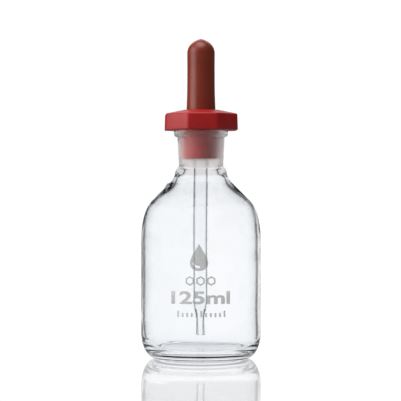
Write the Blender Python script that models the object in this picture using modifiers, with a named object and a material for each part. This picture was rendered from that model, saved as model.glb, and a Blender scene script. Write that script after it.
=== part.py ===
"""Dropper bottle: a narrow-neck glass bottle with a ground socket, an octagonal plastic stopper that
closes it, the glass pipette that the stopper carries, and the rubber teat on the pipette's top.

Frame: +Z up, origin at the centre of the foot, the front towards -Y. All values are in metres.
A profile is a list of (radius, height) points. Each turned piece spins its profile round +Z.
"""

import math

import bmesh
import bpy
from mathutils import Matrix

MM = 0.001
PI = math.pi

# Clearances
SEAT_GAP = 0.3 * MM  # between faces that rest on each other
SLIDE_GAP = 0.3 * MM  # radial, round the pipette and the stopper's plug

# Bottle
BODY_DIAMETER = 57.0 * MM
BOTTLE_HEIGHT = 108.4 * MM
BODY_WALL = 1.9 * MM
BASE_THICKNESS = 4.2 * MM
FLOOR_RISE = 0.9 * MM  # the floor is domed by this much
CORNER_WIDTH = 7.2 * MM  # the rounded edge at the foot is a quarter of an ellipse
CORNER_HEIGHT = 12.0 * MM
FOOT_RING_WIDTH = 1.6 * MM
PUNT_RISE = 1.4 * MM

# The shoulder is a 45 degree cone, rounded into the body below and into the neck above.
SHOULDER_ROUND_ABOVE = 5.5 * MM
SHOULDER_ROUND_BELOW = 14.0 * MM
KNUCKLE_STEP = 2.0 * MM  # the bulge where the neck grows out of the shoulder
KNUCKLE_HEIGHT = 4.2 * MM
KNUCKLE_SLOPE = 0.12
FLARE_WIDTH = 2.2 * MM
FLARE_HEIGHT = 3.7 * MM

# Neck, with a ground socket of the standard 1:10 taper
SOCKET_MOUTH_DIAMETER = 18.8 * MM
SOCKET_TAPER = 0.1  # change of diameter along the axis
SOCKET_LENGTH = 17.4 * MM
NECK_WALL = 2.0 * MM
NECK_LENGTH = 16.8 * MM
LIP_OVERHANG = 1.55 * MM
LIP_HEIGHT = 2.85 * MM
LIP_TOP_ROUND = 0.6 * MM
LIP_BOTTOM_ROUND = 1.5 * MM
MOUTH_CHAMFER = 0.3 * MM

# Stopper
HEAD_ACROSS_FLATS = 34.5 * MM  # at the foot of the head, where it is widest
HEAD_DRAFT = 0.25 * MM  # each side leans in by this much up to the rim
HEAD_RIM_HEIGHT = 7.75 * MM
HEAD_CROWN_RISE = 1.95 * MM  # eight facets rise from the rim to the land round the teat
LAND_ACROSS_FLATS = 16.3 * MM
HEAD_EDGE_ROUND = 0.6 * MM
HEAD_TURN = 2.8  # degrees, anticlockwise seen from above
HEAD_CORE_RISE = 4.5 * MM  # the plug's hollow runs on up into the head
PLUG_LENGTH = 13.7 * MM
PLUG_WALL = 1.6 * MM
PLUG_END_ROUND = 0.4 * MM
TUBE_SLEEVE_WALL = 1.3 * MM  # the sleeve inside the hollow plug that grips the pipette
TUBE_SLEEVE_LENGTH = 9.0 * MM
TEAT_SEAT_DEPTH = 0.6 * MM

# Pipette
TUBE_DIAMETER = 7.0 * MM
TUBE_WALL = 0.8 * MM
TUBE_ABOVE_HEAD = 12.5 * MM
TIP_ABOVE_FLOOR = 5.9 * MM  # over the top of the floor's dome
TIP_DIAMETER = 4.3 * MM
TIP_BORE = 2.0 * MM
TIP_WAIST_DIAMETER = 3.9 * MM
TIP_WAIST_BORE = 2.7 * MM
TIP_LENGTH = 9.3 * MM
TIP_CONE_LENGTH = 5.6 * MM
TIP_END_ROUND = 0.35 * MM
TUBE_END_ROUND = 0.25 * MM

# Teat
TEAT_DIAMETER = 13.15 * MM
TEAT_SKIRT_DIAMETER = 13.75 * MM
TEAT_SKIRT_HEIGHT = 11.0 * MM
TEAT_HEIGHT = 34.3 * MM
TEAT_WALL = 1.6 * MM
TEAT_GRIP_LENGTH = 11.0 * MM
TEAT_FUNNEL_HEIGHT = 1.8 * MM
TEAT_DOME_HEIGHT = 6.9 * MM
TEAT_POINT_HEIGHT = 0.5 * MM  # of the dome's height, the soft point at its top
TEAT_FOOT_ROUND = 0.4 * MM

# Facets round the axis
BODY_FACETS = 48
STOPPER_FACETS = 48
TUBE_FACETS = 24
TEAT_FACETS = 40

BODY_RADIUS = BODY_DIAMETER / 2
FOOT_RADIUS = BODY_RADIUS - CORNER_WIDTH
TUBE_RADIUS = TUBE_DIAMETER / 2
TUBE_BORE_RADIUS = TUBE_RADIUS - TUBE_WALL
HEAD_BOTTOM = BOTTLE_HEIGHT + SEAT_GAP
HEAD_RIM_TOP = HEAD_BOTTOM + HEAD_RIM_HEIGHT
HEAD_TOP = HEAD_RIM_TOP + HEAD_CROWN_RISE
SIDES = 8
TEAT_SEAT = HEAD_TOP - TEAT_SEAT_DEPTH
TEAT_FOOT = TEAT_SEAT + SEAT_GAP
TUBE_TOP = HEAD_TOP + TUBE_ABOVE_HEAD
TIP_BOTTOM = BASE_THICKNESS + FLOOR_RISE + TIP_ABOVE_FLOOR


def socket_radius(height):
    """The ground socket's radius at a height."""
    return SOCKET_MOUTH_DIAMETER / 2 - (BOTTLE_HEIGHT - height) * SOCKET_TAPER / 2


def neck_radius(height):
    return socket_radius(height) + NECK_WALL


def arc(centre, width, height, start, end, count):
    """Points on an ellipse's arc, from one angle to another; 0 points outwards and 90 up."""
    points = []
    for i in range(count + 1):
        angle = math.radians(start + (end - start) * i / count)
        points.append((centre[0] + width * math.cos(angle), centre[1] + height * math.sin(angle)))
    return points


def bend(first, corner, last, count):
    """A quadratic curve from first to last, tangent to the lines that meet at corner."""
    points = []
    for i in range(count + 1):
        t = i / count
        a, b, c = (1 - t) ** 2, 2 * t * (1 - t), t * t
        points.append(tuple(a * p + b * q + c * r for p, q, r in zip(first, corner, last)))
    return points


def lines_meet(p, along_p, q, along_q):
    """Where the line through p meets the line through q."""
    cross = along_p[0] * along_q[1] - along_p[1] * along_q[0]
    t = ((q[0] - p[0]) * along_q[1] - (q[1] - p[1]) * along_q[0]) / cross
    return (p[0] + t * along_p[0], p[1] + t * along_p[1])


def inset(points, distance):
    """The same outline moved towards the axis by distance, square to itself. It runs downwards."""
    moved = []
    for i, (radius, height) in enumerate(points):
        before = points[max(i - 1, 0)]
        after = points[min(i + 1, len(points) - 1)]
        run, rise = after[0] - before[0], after[1] - before[1]
        length = math.hypot(run, rise)
        moved.append((radius + distance * rise / length, height - distance * run / length))
    return moved


def without_repeats(points):
    """The points without any that lies on the one before it."""
    kept = [points[0]]
    for point in points[1:]:
        if math.dist(point, kept[-1]) > 0.001 * MM:
            kept.append(point)
    return kept


def material(name, colour, roughness, metallic=0.0, transmission=0.0):
    made = bpy.data.materials.new(name)
    made.use_nodes = True
    shader = made.node_tree.nodes["Principled BSDF"]
    shader.inputs["Base Color"].default_value = (*colour, 1.0)
    shader.inputs["Roughness"].default_value = roughness
    shader.inputs["Metallic"].default_value = metallic
    shader.inputs["Transmission Weight"].default_value = transmission
    made.diffuse_color = (*colour, 1.0)
    return made


def collection(name):
    made = bpy.data.collections.new(name)
    bpy.context.scene.collection.children.link(made)
    return made


def add_object(name, mesh, into, surface=None):
    made = bpy.data.objects.new(name, mesh)
    into.objects.link(made)
    if surface:
        mesh.materials.append(surface)
    return made


def turned(name, profile, facets, into, surface=None):
    """A solid of revolution: the profile, which runs down its outer side, turned by a Screw modifier."""
    points = without_repeats(profile)
    closed = points[0][0] > 0 or points[-1][0] > 0
    edges = [(i, i + 1) for i in range(len(points) - 1)]
    if closed:
        edges.append((len(points) - 1, 0))
    mesh = bpy.data.meshes.new(name)
    mesh.from_pydata([(radius, 0.0, height) for radius, height in points], edges, [])
    made = add_object(name, mesh, into, surface)
    screw = made.modifiers.new("turn", "SCREW")
    screw.steps = facets
    screw.render_steps = facets
    screw.use_merge_vertices = True
    screw.merge_threshold = 0.01 * MM
    return made


def cut(target, cutter, operation):
    step = target.modifiers.new(cutter.name, "BOOLEAN")
    step.operation = operation
    step.solver = "EXACT"
    step.object = cutter
    cutter.hide_render = True
    cutter.display_type = "WIRE"


def shoulder_outline():
    """The outer side from the neck's foot to the body's straight wall, downwards."""
    neck_foot_height = BOTTLE_HEIGHT - NECK_LENGTH
    neck_foot = (neck_radius(neck_foot_height), neck_foot_height)
    knuckle = (neck_foot[0] + KNUCKLE_STEP, neck_foot[1] - KNUCKLE_HEIGHT)
    flare_end = (knuckle[0] + FLARE_WIDTH, knuckle[1] - FLARE_HEIGHT)
    down = (KNUCKLE_SLOPE, -1.0)
    cone = (1.0, -1.0)
    knuckle_corner = lines_meet(neck_foot, cone, knuckle, down)
    flare_corner = lines_meet(knuckle, down, flare_end, cone)
    body_corner = lines_meet(flare_end, cone, (BODY_RADIUS, 0.0), (0.0, 1.0))
    cone_end = (body_corner[0] - SHOULDER_ROUND_ABOVE, body_corner[1] + SHOULDER_ROUND_ABOVE)
    wall_top = (BODY_RADIUS, body_corner[1] - SHOULDER_ROUND_BELOW)
    knuckle_curve = bend(neck_foot, knuckle_corner, knuckle, 3)
    flare = bend(knuckle, flare_corner, flare_end, 4)
    shoulder = bend(cone_end, body_corner, wall_top, 7)
    return knuckle_curve, flare + shoulder


def lip_outline():
    """The top face, the lip's edge and the neck down to its foot."""
    lip_radius = neck_radius(BOTTLE_HEIGHT) + LIP_OVERHANG
    lip_bottom = BOTTLE_HEIGHT - LIP_HEIGHT
    top_centre = (lip_radius - LIP_TOP_ROUND, BOTTLE_HEIGHT - LIP_TOP_ROUND)
    under_centre = (lip_radius - LIP_BOTTOM_ROUND, lip_bottom + LIP_BOTTOM_ROUND)
    mouth_radius = socket_radius(BOTTLE_HEIGHT)
    return [
        (socket_radius(BOTTLE_HEIGHT - MOUTH_CHAMFER), BOTTLE_HEIGHT - MOUTH_CHAMFER),
        (mouth_radius + MOUTH_CHAMFER, BOTTLE_HEIGHT),
        *arc(top_centre, LIP_TOP_ROUND, LIP_TOP_ROUND, 90, 0, 3),
        *arc(under_centre, LIP_BOTTOM_ROUND, LIP_BOTTOM_ROUND, 0, -90, 3),
        (neck_radius(lip_bottom), lip_bottom),
    ]


def make_bottle(into, glass):
    knuckle_curve, shoulder = shoulder_outline()
    corner_centre = (FOOT_RADIUS, CORNER_HEIGHT)
    outer_corner = arc(corner_centre, CORNER_WIDTH, CORNER_HEIGHT, 0, -90, 7)
    inner_corner = arc(
        corner_centre, CORNER_WIDTH - BODY_WALL, CORNER_HEIGHT - BASE_THICKNESS, -90, 0, 6
    )
    punt_edge = FOOT_RADIUS - FOOT_RING_WIDTH
    punt = arc((0.0, 0.0), punt_edge, PUNT_RISE, 0, 90, 4)
    floor = arc((0.0, BASE_THICKNESS), FOOT_RADIUS, FLOOR_RISE, 90, 0, 4)
    socket_foot = BOTTLE_HEIGHT - SOCKET_LENGTH
    profile = [
        (0.0, BASE_THICKNESS + FLOOR_RISE),
        *floor[1:],
        *inner_corner,
        *reversed(inset(shoulder, BODY_WALL)),
        (socket_radius(socket_foot), socket_foot),
        *lip_outline(),
        *knuckle_curve,
        *shoulder,
        *outer_corner,
        *punt[:-1],
        (0.0, PUNT_RISE),
    ]
    return turned("bottle", profile, BODY_FACETS, into, glass)


def make_head(into, plastic):
    """The octagonal head: upright sides, then eight facets that rise to a flat land."""
    corner = 1 / math.cos(PI / SIDES)
    rim_radius = HEAD_ACROSS_FLATS / 2 - HEAD_DRAFT
    shape = bmesh.new()
    bmesh.ops.create_cone(
        shape,
        cap_ends=True,
        segments=SIDES,
        radius1=HEAD_ACROSS_FLATS / 2 * corner,
        radius2=rim_radius * corner,
        depth=HEAD_RIM_HEIGHT,
        matrix=Matrix.Rotation(PI / SIDES + math.radians(HEAD_TURN), 4, "Z"),
    )
    bmesh.ops.translate(shape, vec=(0.0, 0.0, HEAD_BOTTOM + HEAD_RIM_HEIGHT / 2), verts=shape.verts)
    top = max(shape.faces, key=lambda face: face.calc_center_median().z)
    bmesh.ops.inset_individual(
        shape,
        faces=[top],
        thickness=rim_radius - LAND_ACROSS_FLATS / 2,
        depth=HEAD_CROWN_RISE,
        use_even_offset=True,
    )
    mesh = bpy.data.meshes.new("stopper")
    shape.to_mesh(mesh)
    shape.free()
    head = add_object("stopper", mesh, into, plastic)
    edges = head.modifiers.new("rounded_edges", "BEVEL")
    edges.width = HEAD_EDGE_ROUND
    edges.segments = 3
    edges.limit_method = "ANGLE"
    edges.angle_limit = math.radians(30)
    return head


def make_stopper(into, cutters, plastic):
    """The head joined to the tapered plug, cored out from below and bored for the pipette."""
    stopper = make_head(into, plastic)
    overlap = 1.0 * MM
    plug_end = HEAD_BOTTOM - PLUG_LENGTH
    plug_root = HEAD_BOTTOM + overlap
    root_radius = socket_radius(HEAD_BOTTOM) - SLIDE_GAP
    end_radius = socket_radius(plug_end) - SLIDE_GAP
    round_centre = (end_radius - PLUG_END_ROUND, plug_end + PLUG_END_ROUND)
    plug = [
        (0.0, plug_root),
        (root_radius, plug_root),
        (root_radius, HEAD_BOTTOM),
        *arc(round_centre, PLUG_END_ROUND, PLUG_END_ROUND, 0, -90, 3),
        (0.0, plug_end),
    ]
    cut(stopper, turned("plug_joiner", plug, STOPPER_FACETS, cutters), "UNION")

    bore = TUBE_RADIUS + SLIDE_GAP
    sleeve = bore + TUBE_SLEEVE_WALL
    sleeve_end = HEAD_BOTTOM - TUBE_SLEEVE_LENGTH
    hollow = [
        (0.0, sleeve_end),
        (sleeve, sleeve_end),
        (sleeve, HEAD_BOTTOM + HEAD_CORE_RISE),
        (root_radius - PLUG_WALL, HEAD_BOTTOM + HEAD_CORE_RISE),
        (root_radius - PLUG_WALL, HEAD_BOTTOM),
        (end_radius - PLUG_WALL, plug_end),
        (end_radius - PLUG_WALL, plug_end - overlap),
        (0.0, plug_end - overlap),
    ]
    cut(stopper, turned("plug_hollow", hollow, STOPPER_FACETS, cutters), "DIFFERENCE")

    seat_radius = TEAT_SKIRT_DIAMETER / 2 + SLIDE_GAP
    passage = [
        (0.0, HEAD_TOP + overlap),
        (seat_radius, HEAD_TOP + overlap),
        (seat_radius, TEAT_SEAT),
        (bore, TEAT_SEAT),
        (bore, plug_end - overlap),
        (0.0, plug_end - overlap),
    ]
    cut(stopper, turned("tube_passage", passage, STOPPER_FACETS, cutters), "DIFFERENCE")
    return stopper


def make_pipette(into, glass):
    """A straight tube drawn down to a thick-walled tip, its ends fire-polished."""
    tip_radius = TIP_DIAMETER / 2
    waist_height = TIP_BOTTOM + TIP_LENGTH
    cone_top = waist_height + TIP_CONE_LENGTH
    waist = (TIP_WAIST_DIAMETER / 2, waist_height)
    waist_bore = (TIP_WAIST_BORE / 2, waist_height)
    top_centre = TUBE_TOP - TUBE_END_ROUND
    tip_centre = (tip_radius - TIP_END_ROUND, TIP_BOTTOM + TIP_END_ROUND)
    profile = [
        (TIP_BORE / 2, TIP_BOTTOM),
        (TIP_BORE / 2, TIP_BOTTOM + TIP_END_ROUND),
        waist_bore,
        (TUBE_BORE_RADIUS, cone_top),
        *arc((TUBE_BORE_RADIUS + TUBE_END_ROUND, top_centre), TUBE_END_ROUND, TUBE_END_ROUND, 180, 90, 2),
        *arc((TUBE_RADIUS - TUBE_END_ROUND, top_centre), TUBE_END_ROUND, TUBE_END_ROUND, 90, 0, 2),
        (TUBE_RADIUS, cone_top),
        waist,
        *arc(tip_centre, TIP_END_ROUND, TIP_END_ROUND, 0, -90, 2),
    ]
    return turned("pipette", profile, TUBE_FACETS, into, glass)


def dome(radius, base, rise):
    """A dome from its top down to its base: half an ellipse with a soft point on it."""
    points = []
    steps = 8
    for i in range(steps + 1):
        angle = PI / 2 * (1 - i / steps)
        share = math.cos(angle)
        round_part = (rise - TEAT_POINT_HEIGHT) * math.sin(angle)
        points.append((radius * share, base + round_part + TEAT_POINT_HEIGHT * (1 - share) ** 4))
    points[0] = (0.0, base + rise)
    return points


def make_teat(into, rubber):
    """A moulded bulb: a thick grip that holds the pipette, and a thin-walled dome above it."""
    radius = TEAT_DIAMETER / 2
    skirt_radius = TEAT_SKIRT_DIAMETER / 2
    top = TEAT_FOOT + TEAT_HEIGHT
    dome_base = top - TEAT_DOME_HEIGHT
    skirt_top = TEAT_FOOT + TEAT_SKIRT_HEIGHT
    grip_radius = TUBE_RADIUS + SLIDE_GAP
    grip_top = TEAT_FOOT + TEAT_GRIP_LENGTH
    inner_radius = radius - TEAT_WALL
    inner_dome = dome(inner_radius, dome_base, TEAT_DOME_HEIGHT - TEAT_WALL)
    outer_dome = dome(radius, dome_base, TEAT_DOME_HEIGHT)
    foot_centre = (skirt_radius - TEAT_FOOT_ROUND, TEAT_FOOT + TEAT_FOOT_ROUND)
    profile = [
        *outer_dome,
        (radius, (dome_base + skirt_top) / 2),
        *bend((radius, skirt_top), (radius, (skirt_top + TEAT_FOOT) / 2), (skirt_radius, foot_centre[1]), 4),
        *arc(foot_centre, TEAT_FOOT_ROUND, TEAT_FOOT_ROUND, 0, -90, 2),
        (grip_radius, TEAT_FOOT),
        (grip_radius, grip_top),
        (inner_radius, grip_top + TEAT_FUNNEL_HEIGHT),
        *reversed(inner_dome),
    ]
    return turned("teat", profile, TEAT_FACETS, into, rubber)


def main():
    for old in list(bpy.data.objects):
        bpy.data.objects.remove(old)
    parts = collection("dropper_bottle")
    cutters = collection("cutters")
    glass = material("clear_glass", (0.92, 0.95, 0.95), 0.02, transmission=1.0)
    plastic = material("red_plastic", (0.55, 0.03, 0.03), 0.4)
    rubber = material("brown_rubber", (0.22, 0.04, 0.02), 0.5)
    make_bottle(parts, glass)
    make_stopper(parts, cutters, plastic)
    make_pipette(parts, glass)
    make_teat(parts, rubber)
    bpy.context.view_layer.update()


main()
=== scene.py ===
"""The looks of the dropper bottle: fine glass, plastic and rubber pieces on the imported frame.

Frame: metres, +Z up, the front towards -Y. Sizes in the profiles are in millimetres, and each piece
starts and ends where the CAD node that it replaces does.
"""

import math
from functools import cached_property

import bmesh
import bpy
from mathutils import Matrix, Vector


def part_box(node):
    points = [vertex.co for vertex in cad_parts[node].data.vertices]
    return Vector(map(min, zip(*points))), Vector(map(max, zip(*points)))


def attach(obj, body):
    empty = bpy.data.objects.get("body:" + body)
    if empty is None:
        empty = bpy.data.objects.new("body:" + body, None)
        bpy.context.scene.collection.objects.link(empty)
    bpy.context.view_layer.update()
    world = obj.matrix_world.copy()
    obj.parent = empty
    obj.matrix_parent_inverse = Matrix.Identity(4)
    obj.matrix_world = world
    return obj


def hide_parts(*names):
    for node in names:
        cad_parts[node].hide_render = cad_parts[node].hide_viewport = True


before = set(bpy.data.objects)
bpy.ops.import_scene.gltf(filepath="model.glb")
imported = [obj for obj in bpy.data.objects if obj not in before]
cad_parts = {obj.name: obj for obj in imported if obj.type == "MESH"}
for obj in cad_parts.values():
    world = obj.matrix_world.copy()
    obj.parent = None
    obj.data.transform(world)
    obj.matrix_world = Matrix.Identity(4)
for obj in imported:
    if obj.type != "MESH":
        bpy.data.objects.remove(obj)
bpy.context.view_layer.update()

PI = math.pi
MM = 0.001

# --------------------------------------------------------------------------- sizes, in millimetres
BOTTLE_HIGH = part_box("bottle")[1]
STOPPER_LOW, STOPPER_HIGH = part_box("stopper")
TUBE_LOW, TUBE_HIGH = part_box("pipette")
TEAT_LOW, TEAT_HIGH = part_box("teat")
GAP = 0.3  # between pieces that press on each other in the real object

BODY_RADIUS = BOTTLE_HIGH[0] / MM
LIP_TOP = BOTTLE_HIGH[2] / MM
WALL = 1.9
BASE = 4.2
FLOOR_RISE = 0.9
CORNER_WIDTH, CORNER_HEIGHT = 7.2, 12.0
CLEAR_CORNER = 22  # points of the inner corner that belong to the floor's clear glass
FOOT_RADIUS = BODY_RADIUS - CORNER_WIDTH
FOOT_RING = 1.6
PUNT_RISE = 1.4

MOUTH_RADIUS = 9.4
MOUTH_ROUND = 0.4
TAPER = 0.05  # of the radius, per millimetre of depth
SOCKET_LENGTH = 17.4
GROUND_RUNOUT = 1.2
NECK_WALL = 2.0
NECK_LENGTH = 16.8
LIP_OVERHANG, LIP_HEIGHT = 1.55, 2.85
LIP_TOP_ROUND, LIP_BOTTOM_ROUND = 0.6, 1.5
LIP_FILLET = 0.5

KNUCKLE_OUT, KNUCKLE_DROP = 2.0, 4.2
FLARE_OUT, FLARE_DROP = 2.2, 3.7
CONE_TO_CORNER = 5.5
CORNER_TO_WALL = 14.0
THROAT_LENGTH = 5.2
SHOULDER_THINNING = 0.8
THINNING_STARTS, THINNING_ENDS = (58.0, 74.0), (76.0, 86.0)
RIPPLES_START, RIPPLES_END = (7.0, 20.0), (70.0, 86.0)
LUMP_RADIUS, LUMP_Z = 15.9, 82.4
LUMP_SPREAD, LUMP_SWELL = 1.1, 0.55

TUBE_RADIUS = 3.5
TUBE_WALL = 0.7
TUBE_ASIDE = 0.15  # from the axis, to the left
GRIP_RADIUS = TUBE_RADIUS + GAP  # of the holes that the tube passes through
TUBE_TOP = TUBE_HIGH[2] / MM
TIP_END = TUBE_LOW[2] / MM

TEAT_FOOT = TEAT_LOW[2] / MM
TEAT_TOP = TEAT_HIGH[2] / MM
TEAT_RADIUS = 6.575
TEAT_FOOT_RADIUS = TEAT_HIGH[0] / MM
TEAT_FOOT_ROUND = 0.5
TEAT_WALL = 1.6
TEAT_GRIP = 11.0
DOME_HEIGHT = 6.9
DOME_POINT, DOME_SOFT = 0.5, 0.03

HEAD_FOOT = LIP_TOP + GAP
HEAD_TOP = STOPPER_HIGH[2] / MM
HEAD_RIM = HEAD_FOOT + 7.75
HEAD_FLAT = 17.25
HEAD_DRAFT = 0.25
HEAD_ROUND = 0.95
LAND_FLAT = 8.15
HEAD_TURN = 2.8  # degrees
PLUG_END = STOPPER_LOW[2] / MM
PLUG_WALL = 1.6
SLEEVE_WALL = 1.3
HOLLOW_ABOVE, SLEEVE_BELOW = 4.5, 9.0  # from the foot of the head

PRINT_TOP, PRINT_THICKNESS = 0.035, 0.03
PRINT_STRIP = 0.8

# --------------------------------------------------------------------------- sizes, in metres
TABLE_SIZE = 16.0
TABLE_HEIGHT = -0.00005
TENT_RADIUS = 30.0
CAMERA_AT = (-0.00024, -0.86, 0.0752)
LAMPS_AIM_AT = (0, 0, 0.1)


# --------------------------------------------------------------------------- outlines
def arc(centre, width, height, start, end, count):
    """Points on an ellipse's arc; 0 degrees points outwards and 90 up."""
    points = []
    for i in range(count + 1):
        a = math.radians(start + (end - start) * i / count)
        points.append((centre[0] + width * math.cos(a), centre[1] + height * math.sin(a)))
    return points


def bend(first, corner, last, count):
    """A quadratic curve from first to last, tangent to the lines that meet at corner."""
    points = []
    for i in range(count + 1):
        t = i / count
        a, b, c = (1 - t) ** 2, 2 * t * (1 - t), t * t
        points.append(tuple(a * p + b * q + c * r for p, q, r in zip(first, corner, last)))
    return points


def line(first, last, count):
    """Points on a straight line, both ends included."""
    return [tuple(p + (q - p) * i / count for p, q in zip(first, last)) for i in range(count + 1)]


def offset(point, out, up):
    return (point[0] + out, point[1] + up)


def lines_meet(p, along_p, q, along_q):
    cross = along_p[0] * along_q[1] - along_p[1] * along_q[0]
    t = ((q[0] - p[0]) * along_q[1] - (q[1] - p[1]) * along_q[0]) / cross
    return (p[0] + t * along_p[0], p[1] + t * along_p[1])


def inset(points, distance_at):
    """The outline, which runs downwards, moved towards the axis and square to itself by a distance that
    depends on the height."""
    moved = []
    for i, (r, z) in enumerate(points):
        before, after = points[max(i - 1, 0)], points[min(i + 1, len(points) - 1)]
        run, rise = after[0] - before[0], after[1] - before[1]
        length = math.hypot(run, rise)
        distance = distance_at(z)
        moved.append((r + distance * rise / length, z - distance * run / length))
    return moved


def smooth(edge0, edge1, value):
    """0 up to edge0, 1 from edge1, and a soft step between them."""
    t = min(max((value - edge0) / (edge1 - edge0), 0.0), 1.0)
    return t * t * (3 - 2 * t)


def plateau(starts, ends, value):
    """0, then 1, then 0 again, with a soft step over each of the two ranges."""
    return smooth(*starts, value) * (1 - smooth(*ends, value))


def lathe(name, runs, segments, slots, shape=None):
    """A closed solid of revolution in metres. runs is a list of (points, slot), in order, and a point
    that repeats the one before is skipped. shape may move a point: it takes radius, height, angle and
    slot, and returns radius and height."""
    points, slot_of = [], []
    for run, slot in runs:
        for p in run:
            if points and math.dist(points[-1], p) < 0.004:
                continue
            points.append(p)
            slot_of.append(slot)
    shell = bmesh.new()
    rings = []
    for (r, z), slot in zip(points, slot_of):
        if r < 1e-6:
            rings.append([shell.verts.new((0, 0, z * MM))])
            continue
        ring = []
        for k in range(segments):
            a = 2 * PI * k / segments
            rr, zz = shape(r, z, a, slot) if shape else (r, z)
            ring.append(shell.verts.new((rr * MM * math.cos(a), rr * MM * math.sin(a), zz * MM)))
        rings.append(ring)
    if len(rings[0]) > 1 and len(rings[-1]) > 1:
        rings.append(rings[0])
        slot_of.append(slot_of[0])
    for a, b, slot in zip(rings, rings[1:], slot_of[1:]):
        for k in range(segments):
            n = (k + 1) % segments
            corners = (a[k % len(a)], b[k % len(b)], b[n % len(b)], a[n % len(a)])
            face = shell.faces.new(list(dict.fromkeys(corners)))
            face.smooth = True
            face.material_index = slot
    bmesh.ops.recalc_face_normals(shell, faces=shell.faces)
    if shell.calc_volume(signed=True) < 0:
        bmesh.ops.reverse_faces(shell, faces=shell.faces)
    mesh = bpy.data.meshes.new(name)
    shell.to_mesh(mesh)
    shell.free()
    for material in slots:
        mesh.materials.append(material)
    return add_object(name, mesh)


def add_object(name, data):
    made = bpy.data.objects.new(name, data)
    bpy.context.scene.collection.objects.link(made)
    return made


def evaluated_mesh(made):
    """The object's mesh with its modifiers and curves applied."""
    graph = bpy.context.evaluated_depsgraph_get()
    return bpy.data.meshes.new_from_object(made.evaluated_get(graph))


# --------------------------------------------------------------------------- materials
class Tree:
    """The node tree of a material or a world, with short calls to add and join nodes."""

    def __init__(self, name, world=False):
        self.owner = (bpy.data.worlds if world else bpy.data.materials).new(name)
        self.owner.use_nodes = True
        self.nodes = self.owner.node_tree.nodes
        self.nodes.clear()
        self.links = self.owner.node_tree.links
        self.out = self.nodes.new("ShaderNodeOutputWorld" if world else "ShaderNodeOutputMaterial")

    @cached_property
    def coords(self):
        """The object's own coordinates."""
        return self.nodes.new("ShaderNodeTexCoord").outputs["Object"]

    def add(self, kind, **values):
        node = self.nodes.new(kind)
        for key, value in values.items():
            if key in node.inputs:
                self.put(node.inputs[key], value)
            else:
                setattr(node, key, value)
        return node

    def put(self, socket, value):
        if isinstance(value, bpy.types.NodeSocket):
            self.links.new(value, socket)
        elif socket.type == "RGBA":
            socket.default_value = (*value, 1.0)
        else:
            socket.default_value = value

    def noise(self, scale, detail=3.0, roughness=0.5, stretch=None):
        where = self.coords
        if stretch:
            where = self.add("ShaderNodeMapping", Vector=self.coords, Scale=stretch).outputs[0]
        node = self.add("ShaderNodeTexNoise", Vector=where, Scale=scale, Detail=detail, Roughness=roughness)
        return node.outputs["Fac"]

    def ramp(self, value, stops):
        """The value turned into a colour or a number by a list of (place, colour or number)."""
        node = self.add("ShaderNodeValToRGB", Fac=value)
        elements = node.color_ramp.elements
        while len(elements) > 1:
            elements.remove(elements[-1])
        for i, (at, colour) in enumerate(stops):
            if not hasattr(colour, "__len__"):
                colour = (colour, colour, colour)
            element = elements[0] if i == 0 else elements.new(at)
            element.position = at
            element.color = (*colour, 1.0)
        return node.outputs["Color"]

    def span(self, value, low, high, first=0.0, last=1.0):
        """The value's range from first to last, turned into the range from low to high."""
        limits = {"From Min": first, "From Max": last, "To Min": low, "To Max": high}
        return self.add("ShaderNodeMapRange", Value=value, **limits).outputs["Result"]

    def maths(self, operation, *values):
        node = self.add("ShaderNodeMath", operation=operation)
        for socket, value in zip(node.inputs, values):
            self.put(socket, value)
        return node.outputs[0]

    def mix(self, fac, a, b, blend="MIX"):
        node = self.add("ShaderNodeMix", data_type="RGBA", blend_type=blend, Factor=fac)
        first_colour, second_colour = node.inputs[6], node.inputs[7]
        self.put(first_colour, a)
        self.put(second_colour, b)
        return node.outputs[2]

    def bump(self, height, strength, distance, normal=None):
        node = self.add("ShaderNodeBump", Height=height, Strength=strength, Distance=distance)
        if normal:
            self.put(node.inputs["Normal"], normal)
        return node.outputs["Normal"]

    def facing(self):
        """0 where the surface is seen head on, 1 at its edge."""
        return self.add("ShaderNodeLayerWeight", Blend=0.5).outputs["Facing"]

    def shader(self, kind, **values):
        return self.add("ShaderNode" + kind, **values).outputs[0]

    def choose(self, fac, a, b):
        """The shader a where fac is 0 and b where it is 1."""
        node = self.add("ShaderNodeMixShader", Fac=fac)
        self.put(node.inputs[1], a)
        self.put(node.inputs[2], b)
        return node.outputs[0]

    def shade(self, shader):
        self.links.new(shader, self.out.inputs["Surface"])
        return self.owner


def let_lamps_through(tree, shader, share):
    """Lamps reach what is behind the glass, dimmed by it."""
    path = tree.add("ShaderNodeLightPath").outputs
    return tree.choose(path["Is Shadow Ray"], shader, tree.shader("BsdfTransparent", Color=share))


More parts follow.
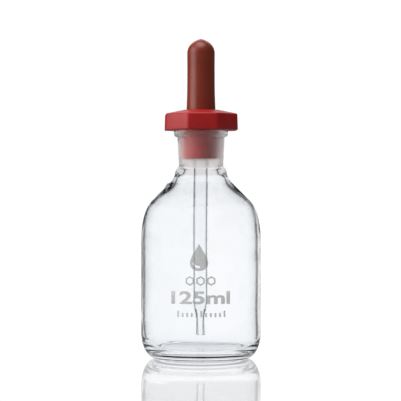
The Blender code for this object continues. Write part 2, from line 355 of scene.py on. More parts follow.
def clear_glass(name, tint, from_air, from_glass, ripple=1.0):
    """Blown glass with faint ripples and streaks. Its edges carry painted shade: dark lines painted into
    its colour as from_air and from_glass say. from_air is a list of (facing, share) for rays that meet it
    from the air. from_glass is a range of facing with a list of (place in the range, share) for rays that
    meet it from within."""
    t = Tree(name)
    waves = t.noise(38.0, 2.0, 0.4, (1.0, 1.0, 0.45))
    fine = t.noise(260.0, 2.0, 0.5, (1.0, 1.0, 0.35))
    normal = t.bump(waves, 0.5 * ripple, 0.00035)
    normal = t.bump(fine, 0.16 * ripple, 0.00004, normal)
    smudge = t.noise(70.0, 4.0, 0.6)
    haze = t.ramp(smudge, [(0.45, 0.0), (0.8, 0.022)])
    # Painted shade: the glass colour darkens near its edges by facing, giving dark lines that stand in for
    # what refraction shows there.
    facing = t.facing()
    first, last, shares = from_glass
    painted_shade_within = t.ramp(t.span(facing, 0.0, 1.0, first, last), shares)
    within = t.add("ShaderNodeNewGeometry").outputs["Backfacing"]
    edge = t.mix(within, t.ramp(facing, from_air), painted_shade_within)
    draw_lines = t.noise(24.0, 3.0, 0.55, (1.0, 1.0, 0.2))
    streak = t.ramp(draw_lines, [(0.3, (0.985, 0.99, 0.995)), (0.7, 1.0)])
    colour = t.mix(1.0, t.mix(1.0, streak, edge, "MULTIPLY"), tint, "MULTIPLY")
    glass = t.shader(
        "BsdfGlass", distribution="GGX", Color=colour, Roughness=haze, IOR=GLASS_IOR, Normal=normal
    )
    return t.shade(let_lamps_through(t, glass, (0.98, 0.98, 0.98)))


def ground_glass(name):
    """Glass ground matt: it scatters what passes, and is a little milky by itself. That milky scatter is
    painted pink, as painted light standing in for red light from the plug scattered in the ground glass.
    """
    t = Tree(name)
    grain = t.noise(5200.0, 3.0, 0.7)
    rings = t.noise(900.0, 2.0, 0.6, (0.04, 0.04, 1.0))
    patch = t.noise(180.0, 3.0, 0.5)
    normal = t.bump(grain, 0.35, 0.00004)
    normal = t.bump(rings, 0.25, 0.00003, normal)
    rough = t.span(patch, 0.38, 0.50)
    body = t.ramp(patch, [(0.3, (0.98, 0.955, 0.945)), (0.7, (1.0, 0.98, 0.97))])
    glass = t.shader(
        "BsdfGlass", distribution="MULTI_GGX", Color=body, Roughness=rough, IOR=GLASS_IOR, Normal=normal
    )
    # Partly real, partly painted light: the milky scatter of ground glass, coloured pink to stand in for
    # the red plug's light scattered in it.
    milk_and_painted_red_glow = t.shader("BsdfDiffuse", Color=(0.90, 0.72, 0.69), Normal=normal)
    both = t.choose(t.span(rings, 0.06, 0.12), glass, milk_and_painted_red_glow)
    return t.shade(let_lamps_through(t, both, (1.0, 0.98, 0.97)))


def moulded_plastic(name):
    """Satin red polyethylene: slightly uneven colour, soft sink marks and a fine moulded grain. The plug's
    colour is painted brighter than the head's: painted light, standing in for the light that reaches it
    through the glass and its thin wall."""
    t = Tree(name)
    dark, middle, light = (0.43, 0.010, 0.0125), (0.485, 0.0135, 0.0155), (0.53, 0.018, 0.020)
    solid = t.ramp(t.noise(90.0, 4.0, 0.55), [(0.3, dark), (0.55, middle), (0.8, light)])
    # Painted light: below the head, the plug gets a brighter copy of the plastic's colour.
    painted_plug_light = t.mix(1.0, solid, (1.4, 1.1, 1.15), "MULTIPLY")
    height = t.add("ShaderNodeSeparateXYZ", Vector=t.coords).outputs["Z"]
    in_head = t.span(height, 0.0, 1.0, (HEAD_FOOT - 1.0) * MM, HEAD_FOOT * MM)
    flow = t.noise(150.0, 3.0, 0.5, (1.0, 1.0, 0.25))
    normal = t.bump(t.noise(110.0, 2.0, 0.5), 0.35, 0.00025)
    normal = t.bump(t.noise(3600.0, 3.0, 0.6), 0.22, 0.00003, normal)
    skin = {
        "Base Color": t.mix(in_head, painted_plug_light, solid),
        "Roughness": t.span(flow, 0.33, 0.47),
        "Normal": normal,
        "IOR": 1.51,
        "Specular IOR Level": 0.38,
    }
    return t.shade(t.shader("BsdfPrincipled", **skin))


def moulded_rubber(name):
    """Brown natural rubber: a close, slightly dusty skin with faint flow lines along the mould."""
    t = Tree(name)
    dark, middle, light = (0.22, 0.026, 0.011), (0.257, 0.033, 0.014), (0.29, 0.043, 0.019)
    flow = t.noise(420.0, 3.0, 0.6, (1.0, 1.0, 0.06))
    normal = t.bump(t.noise(160.0, 2.0, 0.5), 0.15, 0.0002)
    normal = t.bump(t.noise(4200.0, 3.0, 0.6), 0.16, 0.00002, normal)
    skin = {
        "Base Color": t.ramp(t.noise(120.0, 4.0, 0.6), [(0.3, dark), (0.55, middle), (0.8, light)]),
        "Roughness": t.span(flow, 0.31, 0.43),
        "Normal": normal,
        "IOR": 1.52,
        "Specular IOR Level": 0.48,
    }
    return t.shade(t.shader("BsdfPrincipled", **skin))


def fired_enamel(name):
    """Warm grey print, a little porous and uneven in thickness."""
    t = Tree(name)
    dark, middle, light = (0.52, 0.52, 0.49), (0.60, 0.60, 0.565), (0.68, 0.68, 0.645)
    speck = t.noise(2600.0, 3.0, 0.7)
    skin = {
        "Base Color": t.ramp(speck, [(0.3, dark), (0.5, middle), (0.75, light)]),
        "Roughness": t.span(t.noise(700.0, 3.0), 0.4, 0.6),
        "Normal": t.bump(speck, 0.3, 0.00003),
        "Alpha": 0.42,
    }
    return t.shade(t.shader("BsdfPrincipled", **skin))


GLASS_IOR = 1.474
GLASS_TINT = (0.982, 0.985, 0.990)
WHITE = (1.0, 1.0, 1.0)
CLEAR = [(0.0, 1.0), (1.0, 1.0)]
ALL_CLEAR = (0.0, 1.0, CLEAR)
# Painted shade for the glass: shares that darken its colour near the edges of the bottle's wall, the tube
# and the tip, standing in for the dark lines that refraction shows there.
INNER_FACINGS = (0.0, 0.45, 0.52, 0.62, 0.72, 0.8, 0.9, 1.0)
INNER_SHADE_SHARES = (1.0, 1.0, 0.97, 0.94, 0.9, 0.84, 0.76, 0.7)
INNER_PAINTED_SHADE = list(zip(INNER_FACINGS, INNER_SHADE_SHARES))
WALL_PLACES = (0.0, 0.35, 0.48, 0.53, 0.64, 0.70, 0.75)
WALL_SHADE_SHARES = (1.0, 0.97, 0.75, 0.30, 0.26, 0.7, 1.0)
WALL_PAINTED_SHADE = (0.20, 0.32, list(zip(WALL_PLACES, WALL_SHADE_SHARES)))
TUBE_PAINTED_SHADE = [(0.0, 1.0), (0.3, 1.0), (0.6, 0.9), (1.0, 0.55)]
TUBE_WALL_PLACES = (0.0, 0.17, 0.24, 0.37, 0.46, 0.58)
TUBE_WALL_SHADE_SHARES = (1.0, 0.9, 0.33, 0.26, 0.7, 1.0)
TUBE_WALL_PAINTED_SHADE = (0.15, 0.65, list(zip(TUBE_WALL_PLACES, TUBE_WALL_SHADE_SHARES)))
TIP_PAINTED_SHADE = [(0.0, 1.0), (0.2, 1.0), (0.3, 0.42), (0.45, 0.28), (0.62, 0.5), (0.8, 1.0)]
TUBE_RIPPLE, FLOOR_RIPPLE = 0.3, 0.7

glass_outside = clear_glass("glass_outside", GLASS_TINT, CLEAR, ALL_CLEAR)
glass_inside = clear_glass("glass_inside", GLASS_TINT, INNER_PAINTED_SHADE, WALL_PAINTED_SHADE)
glass_ground = ground_glass("glass_ground")
tube_outside = clear_glass("tube_outside", WHITE, CLEAR, ALL_CLEAR, TUBE_RIPPLE)
tip_outside = clear_glass("tip_outside", WHITE, TIP_PAINTED_SHADE, ALL_CLEAR, TUBE_RIPPLE)
glass_floor = clear_glass("glass_floor", GLASS_TINT, CLEAR, ALL_CLEAR, FLOOR_RIPPLE)
tube_inside = clear_glass("tube_inside", WHITE, TUBE_PAINTED_SHADE, TUBE_WALL_PAINTED_SHADE, TUBE_RIPPLE)
red_plastic = moulded_plastic("red_plastic")
brown_rubber = moulded_rubber("brown_rubber")
grey_enamel = fired_enamel("grey_enamel")


# --------------------------------------------------------------------------- bottle
OUTSIDE, INSIDE, GROUND, FLOOR = range(4)  # the bottle's material slots


def socket_at(z):
    """The point of the ground socket at that height."""
    return (MOUTH_RADIUS - (LIP_TOP - z) * TAPER, z)


def neck_at(z):
    """The point of the neck's outside at that height."""
    return (socket_at(z)[0] + NECK_WALL, z)


def shoulder_wall(z):
    """The blown shoulder is thinner than the wall and the neck."""
    return WALL - SHOULDER_THINNING * plateau(THINNING_STARTS, THINNING_ENDS, z)


def neck_and_shoulder():
    """The outside below the neck, downwards: the knuckle, and then the shoulder's flare, cone and
    rounding, which end on the straight wall."""
    neck_foot = neck_at(LIP_TOP - NECK_LENGTH)
    knuckle = offset(neck_foot, KNUCKLE_OUT, -KNUCKLE_DROP)
    flare_end = offset(knuckle, FLARE_OUT, -FLARE_DROP)
    down, cone = (0.12, -1.0), (1.0, -1.0)
    knuckle_corner = lines_meet(neck_foot, cone, knuckle, down)
    flare_corner = lines_meet(knuckle, down, flare_end, cone)
    body_corner = lines_meet(flare_end, cone, (BODY_RADIUS, 0.0), (0.0, 1.0))
    cone_end = offset(body_corner, -CONE_TO_CORNER, CONE_TO_CORNER)
    wall_top = (BODY_RADIUS, body_corner[1] - CORNER_TO_WALL)
    shoulder = [
        *bend(knuckle, flare_corner, flare_end, 16),
        *line(flare_end, cone_end, 8)[1:],
        *bend(cone_end, body_corner, wall_top, 32)[1:],
    ]
    return bend(neck_foot, knuckle_corner, knuckle, 14), shoulder


def bottle_outside(knuckle, shoulder):
    """From the mouth over the lip and down to the middle of the underside."""
    lip_radius = neck_at(LIP_TOP)[0] + LIP_OVERHANG
    lip_foot = neck_at(LIP_TOP - LIP_HEIGHT)
    top_centre = (lip_radius - LIP_TOP_ROUND, LIP_TOP - LIP_TOP_ROUND)
    under_centre = (lip_radius - LIP_BOTTOM_ROUND, lip_foot[1] + LIP_BOTTOM_ROUND)
    fillet_end = neck_at(lip_foot[1] - LIP_FILLET)
    return [
        *line((MOUTH_RADIUS + MOUTH_ROUND, LIP_TOP), (top_centre[0], LIP_TOP), 4),
        *arc(top_centre, LIP_TOP_ROUND, LIP_TOP_ROUND, 90, 0, 8),
        *arc(under_centre, LIP_BOTTOM_ROUND, LIP_BOTTOM_ROUND, 0, -78, 12),
        *bend(offset(lip_foot, 0.32, 0.02), lip_foot, fillet_end, 5),
        *line(fillet_end, knuckle[0], 24),
        *knuckle,
        *shoulder,
        *line(shoulder[-1], (BODY_RADIUS, CORNER_HEIGHT), 30),
        *arc((FOOT_RADIUS, CORNER_HEIGHT), CORNER_WIDTH, CORNER_HEIGHT, 0, -90, 30),
        *line((FOOT_RADIUS, 0.0), (FOOT_RADIUS - FOOT_RING, 0.0), 3),
        *arc((0.0, 0.0), FOOT_RADIUS - FOOT_RING, PUNT_RISE, 0, 90, 26),
    ]


def bottle_inside(shoulder):
    """The floor, the wall with the shoulder and the throat, and the ground socket, upwards."""
    corner = arc((FOOT_RADIUS, CORNER_HEIGHT), CORNER_WIDTH - WALL, CORNER_HEIGHT - BASE, -90, 0, 26)
    inner_shoulder = list(reversed(inset(shoulder, shoulder_wall)))
    socket_foot = socket_at(LIP_TOP - SOCKET_LENGTH)
    throat_top = offset(socket_foot, 0.1, -GROUND_RUNOUT)
    flare = [p for p in inner_shoulder if p[1] < throat_top[1] - THROAT_LENGTH]
    mouth_foot = socket_at(LIP_TOP - MOUTH_ROUND)
    floor = [
        *reversed(arc((0.0, BASE), FOOT_RADIUS, FLOOR_RISE, 0, 90, 26)),
        *corner[:CLEAR_CORNER],
    ]
    wall = [
        *corner[CLEAR_CORNER:],
        *line(corner[-1], flare[0], 30),
        *flare,
        *bend(flare[-1], offset(throat_top, 2.2, -2.5), throat_top, 16),
    ]
    ground = [
        *line(throat_top, socket_foot, 4),
        *line(socket_foot, mouth_foot, 40),
        *bend(mouth_foot, (MOUTH_RADIUS, LIP_TOP), (MOUTH_RADIUS + MOUTH_ROUND, LIP_TOP), 5),
    ]
    return floor, wall, ground


def blown(r, z, a, slot):
    """The blown wall is thinner on one side, and ripples a little inside. Outside, a small lump of
    glass sits on the left of the shoulder."""
    if slot == OUTSIDE:
        off = math.hypot((a - PI) * LUMP_RADIUS, 1.4 * (z - LUMP_Z))
        swell = LUMP_SWELL * math.exp(-((off / LUMP_SPREAD) ** 2))
        return r + swell, z + swell
    if slot == INSIDE:
        side = 0.05 - 0.30 * math.cos(a) + 0.06 * math.sin(2 * a + 0.6)
        ripple = 0.07 * math.sin(z * 0.16 + 1.3 * math.cos(a)) + 0.02 * math.sin(z * 0.47 + 2.0 * a)
        return r + plateau(RIPPLES_START, RIPPLES_END, z) * (side + ripple), z
    return r, z


def make_bottle():
    knuckle, shoulder = neck_and_shoulder()
    floor, wall, ground = bottle_inside(shoulder)
    outside = bottle_outside(knuckle, shoulder)
    made = lathe(
        "bottle_glass",
        [(floor, FLOOR), (wall, INSIDE), (ground, GROUND), (outside, OUTSIDE)],
        144,
        [glass_outside, glass_inside, glass_ground, glass_floor],
        blown,
    )
    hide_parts("bottle")
    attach(made, "bottle")
    return made


# --------------------------------------------------------------------------- pipette
def make_pipette():
    bore = TUBE_RADIUS - TUBE_WALL
    tip, tip_bore = 2.15, 1.0
    waist, waist_bore = 1.95, 1.3
    waist_z = TIP_END + 9.3
    cone_z = waist_z + 5.6
    end_round, rim_round = 0.45, 0.6

    tip_bore_end = (tip_bore, TIP_END + 0.5)
    waist_bore_end = (waist_bore, waist_z - 0.6)
    cone_start = (waist_bore + 0.45, waist_z + 1.8)
    bore_foot = (bore, cone_z + 2.2)
    bore_top = (bore, TUBE_TOP - rim_round)
    inside = [
        *bend((tip_bore + 0.25, TIP_END), (tip_bore, TIP_END), tip_bore_end, 6),
        *bend(tip_bore_end, (tip_bore + 0.15, TIP_END + 5.0), waist_bore_end, 12),
        *bend(waist_bore_end, (waist_bore + 0.18, waist_z + 0.6), cone_start, 6),
        *bend(cone_start, (bore, cone_z - 0.3), bore_foot, 12),
        *line(bore_foot, bore_top, 40),
    ]

    side_top = (TUBE_RADIUS, TUBE_TOP - rim_round)
    side_foot = (TUBE_RADIUS, cone_z + 1.6)
    cone_top = (TUBE_RADIUS - 0.55, cone_z - 2.2)
    rim = [
        *bend(bore_top, (bore, TUBE_TOP), (bore + 0.5, TUBE_TOP), 8),
        *bend((TUBE_RADIUS - 0.5, TUBE_TOP), (TUBE_RADIUS, TUBE_TOP), side_top, 8)[1:],
    ]
    outside = [
        *line(side_top, side_foot, 40),
        *bend(side_foot, (TUBE_RADIUS, cone_z - 0.5), cone_top, 12),
    ]

    waist_start = (waist, waist_z - 1.4)
    tip_start = (tip, TIP_END + 1.6)
    tip_foot = (tip, TIP_END + end_round)
    drawn = [
        *bend(cone_top, (waist, waist_z + 0.4), waist_start, 14),
        *bend(waist_start, (waist, waist_z - 5.0), tip_start, 10),
        *line(tip_start, tip_foot, 2),
        *bend(tip_foot, (tip, TIP_END), (tip - end_round, TIP_END), 8),
    ]

    side_slot, bore_slot, tip_slot = range(3)
    made = lathe(
        "pipette_glass",
        [(inside, bore_slot), (rim, side_slot), (outside, side_slot), (drawn, tip_slot)],
        72,
        [tube_outside, tube_inside, tip_outside],
    )
    made.data.transform(Matrix.Translation((-TUBE_ASIDE * MM, 0, 0)))
    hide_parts("pipette")
    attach(made, "dropper")
    return made


# --------------------------------------------------------------------------- teat
def make_teat():
    dome_base = TEAT_TOP - DOME_HEIGHT
    inner = TEAT_RADIUS - TEAT_WALL
    grip_top = TEAT_FOOT + TEAT_GRIP

    def dome(radius, rise):
        """From the softly pointed top down to the straight side."""
        points = []
        for i in range(31):
            a = PI / 2 * (1 - i / 30)
            share = math.cos(a)
            tip = DOME_POINT * (1 - math.hypot(share, DOME_SOFT) + DOME_SOFT) ** 4
            points.append((radius * share, dome_base + (rise - DOME_POINT) * math.sin(a) + tip))
        return points

    waist = (TEAT_RADIUS - 0.04, dome_base - 8.0)
    flare_top = (TEAT_RADIUS + 0.01, grip_top)
    foot_top = (TEAT_FOOT_RADIUS, TEAT_FOOT + 1.4)
    foot_side = (TEAT_FOOT_RADIUS, TEAT_FOOT + TEAT_FOOT_ROUND)
    foot_end = (TEAT_FOOT_RADIUS - TEAT_FOOT_ROUND, TEAT_FOOT)
    outside = [
        *dome(TEAT_RADIUS, DOME_HEIGHT),
        *line((TEAT_RADIUS, dome_base), waist, 8),
        *line(waist, flare_top, 8),
        *bend(flare_top, (TEAT_RADIUS + 0.06, TEAT_FOOT + 6.0), foot_top, 20),
        *line(foot_top, foot_side, 2),
        *bend(foot_side, (TEAT_FOOT_RADIUS, TEAT_FOOT), foot_end, 6),
    ]
    grip_foot = (GRIP_RADIUS, TEAT_FOOT + 0.3)
    inside = [
        *bend((GRIP_RADIUS + 0.3, TEAT_FOOT), (GRIP_RADIUS, TEAT_FOOT), grip_foot, 4),
        *line(grip_foot, (GRIP_RADIUS, grip_top), 8),
        *line((GRIP_RADIUS, grip_top), (inner, grip_top + 1.8), 4),
        *line((inner, grip_top + 1.8), (inner, dome_base), 8),
        *reversed(dome(inner, DOME_HEIGHT - TEAT_WALL)),
    ]
    made = lathe("teat_rubber", [(outside, 0), (inside, 0)], 160, [brown_rubber])
    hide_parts("teat")
    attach(made, "teat")
    return made


# --------------------------------------------------------------------------- stopper
def rounding(edge):
    """How much of the head's full rounding an edge gets: an upright one, one on the sloping top, one at
    the foot, one at the rim, and none round the land."""
    low, high = sorted(v.co.z for v in edge.verts)
    if high - low > 5.0:
        return 1.0
    if high - low > 0.5:
        return 0.5
    if high < HEAD_FOOT + 0.1:
        return 0.45
    if high < HEAD_RIM + 0.1:
        return 0.62
    return 0.0


def make_head():
    """Eight sides with a little draft, and a top that slopes up to a flat land."""
    shape = bmesh.new()
    corner = 1 / math.cos(PI / 8)
    rim = HEAD_FLAT - HEAD_DRAFT
    bmesh.ops.create_cone(
        shape,
        cap_ends=True,
        segments=8,
        radius1=HEAD_FLAT * corner,
        radius2=rim * corner,
        depth=HEAD_RIM - HEAD_FOOT,
        matrix=Matrix.Rotation(PI / 8 + math.radians(HEAD_TURN), 4, "Z"),
    )
    bmesh.ops.translate(shape, vec=(0, 0, (HEAD_RIM + HEAD_FOOT) / 2), verts=shape.verts)
    top = max(shape.faces, key=lambda f: f.calc_center_median().z)
    bmesh.ops.inset_individual(
        shape, faces=[top], thickness=rim - LAND_FLAT, depth=HEAD_TOP - HEAD_RIM, use_even_offset=True
    )
    layer = shape.edges.layers.float.new("bevel_weight_edge")
    for edge in shape.edges:
        edge[layer] = rounding(edge)
    bmesh.ops.scale(shape, vec=(MM, MM, MM), verts=shape.verts)
    head = bpy.data.meshes.new("head")
    shape.to_mesh(head)
    shape.free()
    made = add_object("stopper_plastic", head)
    bevel = made.modifiers.new("rounded", "BEVEL")
    bevel.limit_method = "WEIGHT"
    bevel.width = HEAD_ROUND * MM
    bevel.segments = 5
    return made


def make_stopper():
    made = make_head()
    plug_top = (socket_at(HEAD_FOOT)[0] - GAP, HEAD_FOOT)
    plug_end = (socket_at(PLUG_END)[0] - GAP, PLUG_END)
    plug_side = offset(plug_end, 0.02, 0.6)
    sleeve = GRIP_RADIUS + SLEEVE_WALL
    seat = TEAT_FOOT_RADIUS + GAP
    beyond = 1.0  # how far a tool reaches past the face that it cuts or joins
    plug = [
        (0, HEAD_FOOT + beyond),
        offset(plug_top, 0, beyond),
        *line(plug_top, plug_side, 12),
        *bend(plug_side, plug_end, offset(plug_end, -0.5, 0), 5),
        (0, PLUG_END),
    ]
    hollow = [
        (0, HEAD_FOOT - SLEEVE_BELOW),
        (sleeve, HEAD_FOOT - SLEEVE_BELOW),
        (sleeve, HEAD_FOOT + HOLLOW_ABOVE),
        offset(plug_top, -PLUG_WALL, HOLLOW_ABOVE),
        offset(plug_top, -PLUG_WALL, 0),
        offset(plug_end, -PLUG_WALL, 0),
        offset(plug_end, -PLUG_WALL, -beyond),
        (0, PLUG_END - beyond),
    ]
    passage = [
        (0, HEAD_TOP + beyond),
        (seat + 0.3, HEAD_TOP + beyond),
        (seat + 0.3, HEAD_TOP + 0.02),
        (seat, HEAD_TOP - 0.3),
        (seat, TEAT_FOOT - GAP),
        (GRIP_RADIUS, TEAT_FOOT - GAP),
        (GRIP_RADIUS, PLUG_END - beyond),
        (0, PLUG_END - beyond),
    ]
    steps = [("plug", plug, "UNION"), ("hollow", hollow, "DIFFERENCE"), ("passage", passage, "DIFFERENCE")]
    tools = []
    for name, profile, operation in steps:
        tool = lathe(name, [(profile, 0)], 120, [])
        step = made.modifiers.new(name, "BOOLEAN")
        step.operation = operation
        step.solver = "EXACT"
        step.object = tool
        tools.append(tool)
    mesh = evaluated_mesh(made)
    mesh.name = "stopper_plastic"
    made.modifiers.clear()
    made.data = mesh
    for tool in tools:
        bpy.data.objects.remove(tool)
    mesh.materials.clear()
    mesh.materials.append(red_plastic)
    for p in mesh.polygons:
        p.material_index = 0
        p.use_smooth = True
    mesh.set_sharp_from_angle(angle=math.radians(22))
    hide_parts("stopper")
    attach(made, "stopper")
    return made


# --------------------------------------------------------------------------- print
def wrap_print(name, flats):
    """Flat shapes, given as meshes in millimetres in X and Z, cut into narrow strips and wrapped on the
    front of the body."""
    shell = bmesh.new()
    for flat in flats:
        shell.from_mesh(flat)
        bpy.data.meshes.remove(flat)
    first = min(v.co.x for v in shell.verts)
    last = max(v.co.x for v in shell.verts)
    x = math.floor(first) + 0.013  # so that no cut runs along an edge
    while x < last:
        whole = shell.verts[:] + shell.edges[:] + shell.faces[:]
        bmesh.ops.bisect_plane(shell, geom=whole, plane_co=(x, 0, 0), plane_no=(1, 0, 0), dist=1e-5)
        x += PRINT_STRIP
    back = bmesh.ops.extrude_face_region(shell, geom=shell.faces[:])
    lifted = {v for v in back["geom"] if isinstance(v, bmesh.types.BMVert)}
    for v in shell.verts:
        radius = BODY_RADIUS + PRINT_TOP - (0.0 if v in lifted else PRINT_THICKNESS)
        a = v.co.x / BODY_RADIUS
        v.co = Vector((radius * math.sin(a), -radius * math.cos(a), v.co.z)) * MM
    bmesh.ops.recalc_face_normals(shell, faces=shell.faces)
    mesh = bpy.data.meshes.new(name)
    shell.to_mesh(mesh)
    shell.free()
    mesh.materials.append(grey_enamel)
    made = add_object(name, mesh)
    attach(made, "bottle")
    return made


def flat_outline(*outlines):
    """A filled flat mesh in X and Z from closed outlines in millimetres; the later ones cut holes."""
    curve = bpy.data.curves.new("flat", "CURVE")
    curve.dimensions = "2D"
    curve.fill_mode = "BOTH"
    for outline in outlines:
        spline = curve.splines.new("POLY")
        spline.points.add(len(outline) - 1)
        for point, (x, z) in zip(spline.points, outline):
            point.co = (x, z, 0, 1)
        spline.use_cyclic_u = True
    return flat_mesh(curve)


def flat_mesh(curve):
    """The filled curve as a mesh that stands upright."""
    holder = add_object("flat", curve)
    bpy.context.view_layer.update()
    mesh = evaluated_mesh(holder)
    bpy.data.objects.remove(holder)
    for v in mesh.vertices:
        v.co = (v.co.x, 0, v.co.y)
    return mesh


def rounded_bar(x0, x1, z0, z1, radius):
    """A closed outline, from its top right corner leftwards."""
    left, right, low, high = x0 + radius, x1 - radius, z0 + radius, z1 - radius
    outline = []
    for centre, start in (((right, high), 0), ((left, high), 90), ((left, low), 180), ((right, low), 270)):
        outline += arc(centre, radius, radius, start, start + 90, 6)
    return outline


def hexagon(cx, cz, radius):
    """A closed outline with a corner at the top."""
    return arc((cx, cz), radius, radius, 30, 330, 5)


def number_text(words, x0, x1, z0, z1):
    """The capacity in a plain built-in face, stretched to fill the box."""
    curve = bpy.data.curves.new("number", "FONT")
    curve.body = words
    curve.size = 10
    curve.offset = 0.3
    curve.resolution_u = 6
    curve.fill_mode = "FRONT"
    mesh = flat_mesh(curve)
    xs = [v.co.x for v in mesh.vertices]
    zs = [v.co.z for v in mesh.vertices]
    for v in mesh.vertices:
        v.co.x = x0 + (v.co.x - min(xs)) / (max(xs) - min(xs)) * (x1 - x0)
        v.co.z = z0 + (v.co.z - min(zs)) / (max(zs) - min(zs)) * (z1 - z0)
    return mesh


def drop_outline(cx, z0, z1, swell, count=64):
    """A plain teardrop, its point up."""
    outline = []
    for i in range(count):
        a = 2 * PI * i / count
        x = swell * math.sin(a) * math.sin(a / 2) ** 1.6
        z = z1 - (z1 - z0) * (1 - math.cos(a)) / 2
        outline.append((cx + x, z))
    return outline


def make_print():
    """From the top: a drop with a glint in it, three hollow hexagons, the capacity and a row of ticks."""
    drop_x, glint_z = -0.9, 47.2
    glint_outer, glint_inner = 3.3, 2.3
    glint = [
        *arc((drop_x, glint_z), glint_outer, glint_outer, 200, 280, 10),
        *arc((drop_x, glint_z), glint_inner, glint_inner, 280, 200, 10),
    ]
    flats = [
        flat_outline(drop_outline(drop_x, 42.6, 55.4, 6.136), glint),
        number_text("125ml", -14.4, 14.0, 27.2, 33.3),
    ]
    hexagon_z, hexagon_outer, hexagon_inner = 38.0, 2.3, 1.45
    for x in (-5.2, -0.2, 4.8):
        hole = hexagon(x, hexagon_z, hexagon_inner)
        flats.append(flat_outline(hexagon(x, hexagon_z, hexagon_outer), hole))
    first_tick, tick_step, tick_width, tick_foot = -11.3, 2.2, 0.9, 21.2
    for i in range(11):
        tick_height = 3.0 if i % 5 == 0 else 2.0
        x = first_tick + i * tick_step
        tick = rounded_bar(x, x + tick_width, tick_foot, tick_foot + tick_height, 0.3)
        flats.append(flat_outline(tick))
    return wrap_print("print_enamel", flats)


# --------------------------------------------------------------------------- stage
STUDIO_WHITE = 1.02


def stage_object(name, mesh, material):
    made = add_object(name, mesh)
    mesh.materials.append(material)
    return made


def make_table():
    """A glossy white table top: it shows white by itself, and mirrors the object a little. Seen through the
    glass it carries a pool of painted shade near the object, and it is dimmer for what shines and fills in."""
    t = Tree("white_table")
    path = t.add("ShaderNodeLightPath").outputs
    away = t.add("ShaderNodeVectorMath", operation="LENGTH")
    t.put(away.inputs[0], t.coords)
    share_out = t.maths("DIVIDE", away.outputs["Value"], TABLE_SIZE)
    # Painted shade: seen through the glass, the table is darker in a pool around the object.
    painted_shade_pool = t.ramp(
        share_out,
        [(0.0, 0.98), (0.006, 0.975), (0.02, 0.935), (0.06, 0.935), (0.2, 0.955), (1.0, 1.0)],
    )
    glow = t.shader("Emission", Color=t.mix(path["Is Camera Ray"], painted_shade_pool, WHITE), Strength=STUDIO_WHITE)
    rough = t.span(t.noise(9.0, 3.0, 0.5), 0.03, 0.06)
    mirror = t.shader("BsdfGlossy", distribution="GGX", Color=WHITE, Roughness=rough)
    mirror_share = t.ramp(t.facing(), [(0.0, 0.06), (0.5, 0.14), (0.8, 0.36), (0.94, 0.62)])
    polished = t.choose(mirror_share, glow, mirror)

    either = t.maths("MAXIMUM", path["Is Camera Ray"], path["Is Transmission Ray"])
    direct = t.maths("LESS_THAN", path["Diffuse Depth"], 0.5)
    seen = t.maths("MULTIPLY", either, direct)
    mirrored = t.maths("MULTIPLY", path["Is Singular Ray"], direct)
    plain = t.shader("Emission", Color=WHITE, Strength=t.span(mirrored, 0.30, 0.66))
    material = t.shade(t.choose(seen, plain, polished))
    material.cycles.emission_sampling = "NONE"

    size, height = TABLE_SIZE, TABLE_HEIGHT
    corners = [(-size, -size, height), (size, -size, height), (size, size, height), (-size, size, height)]
    mesh = bpy.data.meshes.new("table_top")
    mesh.from_pydata(corners, [], [(0, 1, 2, 3)])
    return stage_object("table_top", mesh, material)


def make_tent(table):
    """White all round, for the table top's mirror alone."""
    t = Tree("white_tent")
    both = t.add("ShaderNodeAddShader")
    t.put(both.inputs[0], t.shader("Emission", Color=WHITE, Strength=STUDIO_WHITE))
    t.put(both.inputs[1], t.shader("BsdfTransparent"))
    material = t.shade(both.outputs[0])
    material.cycles.emission_sampling = "NONE"
    shell = bmesh.new()
    bmesh.ops.create_icosphere(shell, subdivisions=3, radius=TENT_RADIUS)
    mesh = bpy.data.meshes.new("tent")
    shell.to_mesh(mesh)
    shell.free()
    tent = stage_object("tent", mesh, material)
    tent.visible_camera = False
    tent.visible_diffuse = False
    tent.visible_transmission = False
    tent.visible_volume_scatter = False
    tent.visible_shadow = False
    light_only(tent, [table])


def make_world():
    """White for the camera and through the glass, pale in what the clear glass mirrors, and a dim room
    for what else shines and for fill light."""
    t = Tree("studio", world=True)
    bpy.context.scene.world = t.owner
    path = t.add("ShaderNodeLightPath").outputs
    direct = t.maths("LESS_THAN", path["Diffuse Depth"], 0.5)
    seen = t.maths("MAXIMUM", path["Is Camera Ray"], path["Is Transmission Ray"])
    mirrored = t.maths("MULTIPLY", path["Is Singular Ray"], direct)
    turned = t.maths("GREATER_THAN", path["Glossy Depth"], 0.5)
    turned_through = t.maths("MULTIPLY", path["Is Transmission Ray"], turned)
    room = t.shader("Background", Color=(1.0, 0.985, 0.97), Strength=0.075)
    pale = t.shader("Background", Color=(0.97, 0.985, 1.0), Strength=0.66)
    white = t.shader("Background", Color=WHITE, Strength=STUDIO_WHITE)
    soft_white = t.shader("Background", Color=(0.985, 0.99, 1.0), Strength=0.74)
    unseen = t.choose(mirrored, room, pale)
    shown = t.choose(turned_through, white, soft_white)
    t.shade(t.choose(t.maths("MULTIPLY", seen, direct), unseen, shown))


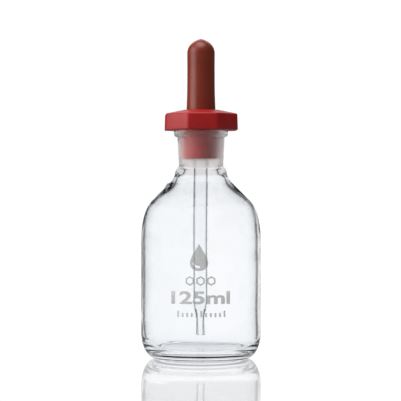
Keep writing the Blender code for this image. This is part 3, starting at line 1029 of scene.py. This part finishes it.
def light_only(lamp, receivers):
    """The lamp, or the glowing object, lights these objects and no other."""
    lit = bpy.data.collections.new("lit_by_" + lamp.name)
    for made in receivers:
        lit.objects.link(made)
    lamp.light_linking.receiver_collection = lit


def softbox(name, azimuth, elevation, distance, width, height, radiance, receivers, mirrored=True):
    """A rectangular lamp aimed at the middle of the object. Azimuth 0 is at the camera, and it grows to
    the camera's left."""
    data = bpy.data.lights.new(name, "AREA")
    data.shape = "RECTANGLE"
    data.size, data.size_y = width, height
    data.energy = radiance * PI * width * height
    lamp = add_object(name, data)
    a, e = math.radians(azimuth), math.radians(elevation)
    towards = Vector((-math.sin(a) * math.cos(e), -math.cos(a) * math.cos(e), math.sin(e)))
    lamp.location = Vector(LAMPS_AIM_AT) + towards * distance
    lamp.rotation_mode = "QUATERNION"
    lamp.rotation_quaternion = towards.to_track_quat("Z", "Y")
    lamp.visible_camera = False
    lamp.visible_transmission = False
    lamp.visible_glossy = mirrored
    light_only(lamp, receivers)


def make_camera():
    """Level, from the front."""
    data = bpy.data.cameras.new("camera")
    data.sensor_width = 36.0
    data.lens = 161.6
    data.clip_start, data.clip_end = 0.01, 50.0
    camera = add_object("camera", data)
    camera.location = CAMERA_AT
    camera.rotation_euler = (PI / 2, 0, 0)
    bpy.context.scene.camera = camera


make_camera()
glass = [make_bottle(), make_pipette()]
dull = [make_teat(), make_stopper(), make_print()]
make_tent(make_table())
make_world()

# The dull pieces mirror their lamps. The clear glass has its own, which it doesn't mirror.
softbox("key", 71, 12, 1.2, 1.0, 1.5, 3.2, dull)
softbox("top", 20, 78, 1.1, 0.9, 0.9, 3.9, dull)
softbox("back", 180, 36, 1.4, 1.4, 0.7, 1.2, dull)
softbox("key_glass", 88, 12, 1.2, 1.15, 1.5, 9.0, glass, False)
softbox("top_glass", 20, 78, 1.1, 0.9, 0.9, 0.6, glass, False)
softbox("side_glass", -96, 16, 1.2, 1.0, 1.0, 5.0, glass, False)

scene = bpy.context.scene
scene.view_settings.view_transform = "Standard"
scene.view_settings.look = "None"
scene.cycles.max_bounces = 24
scene.cycles.transmission_bounces = 20
scene.cycles.transparent_max_bounces = 24
scene.cycles.glossy_bounces = 8
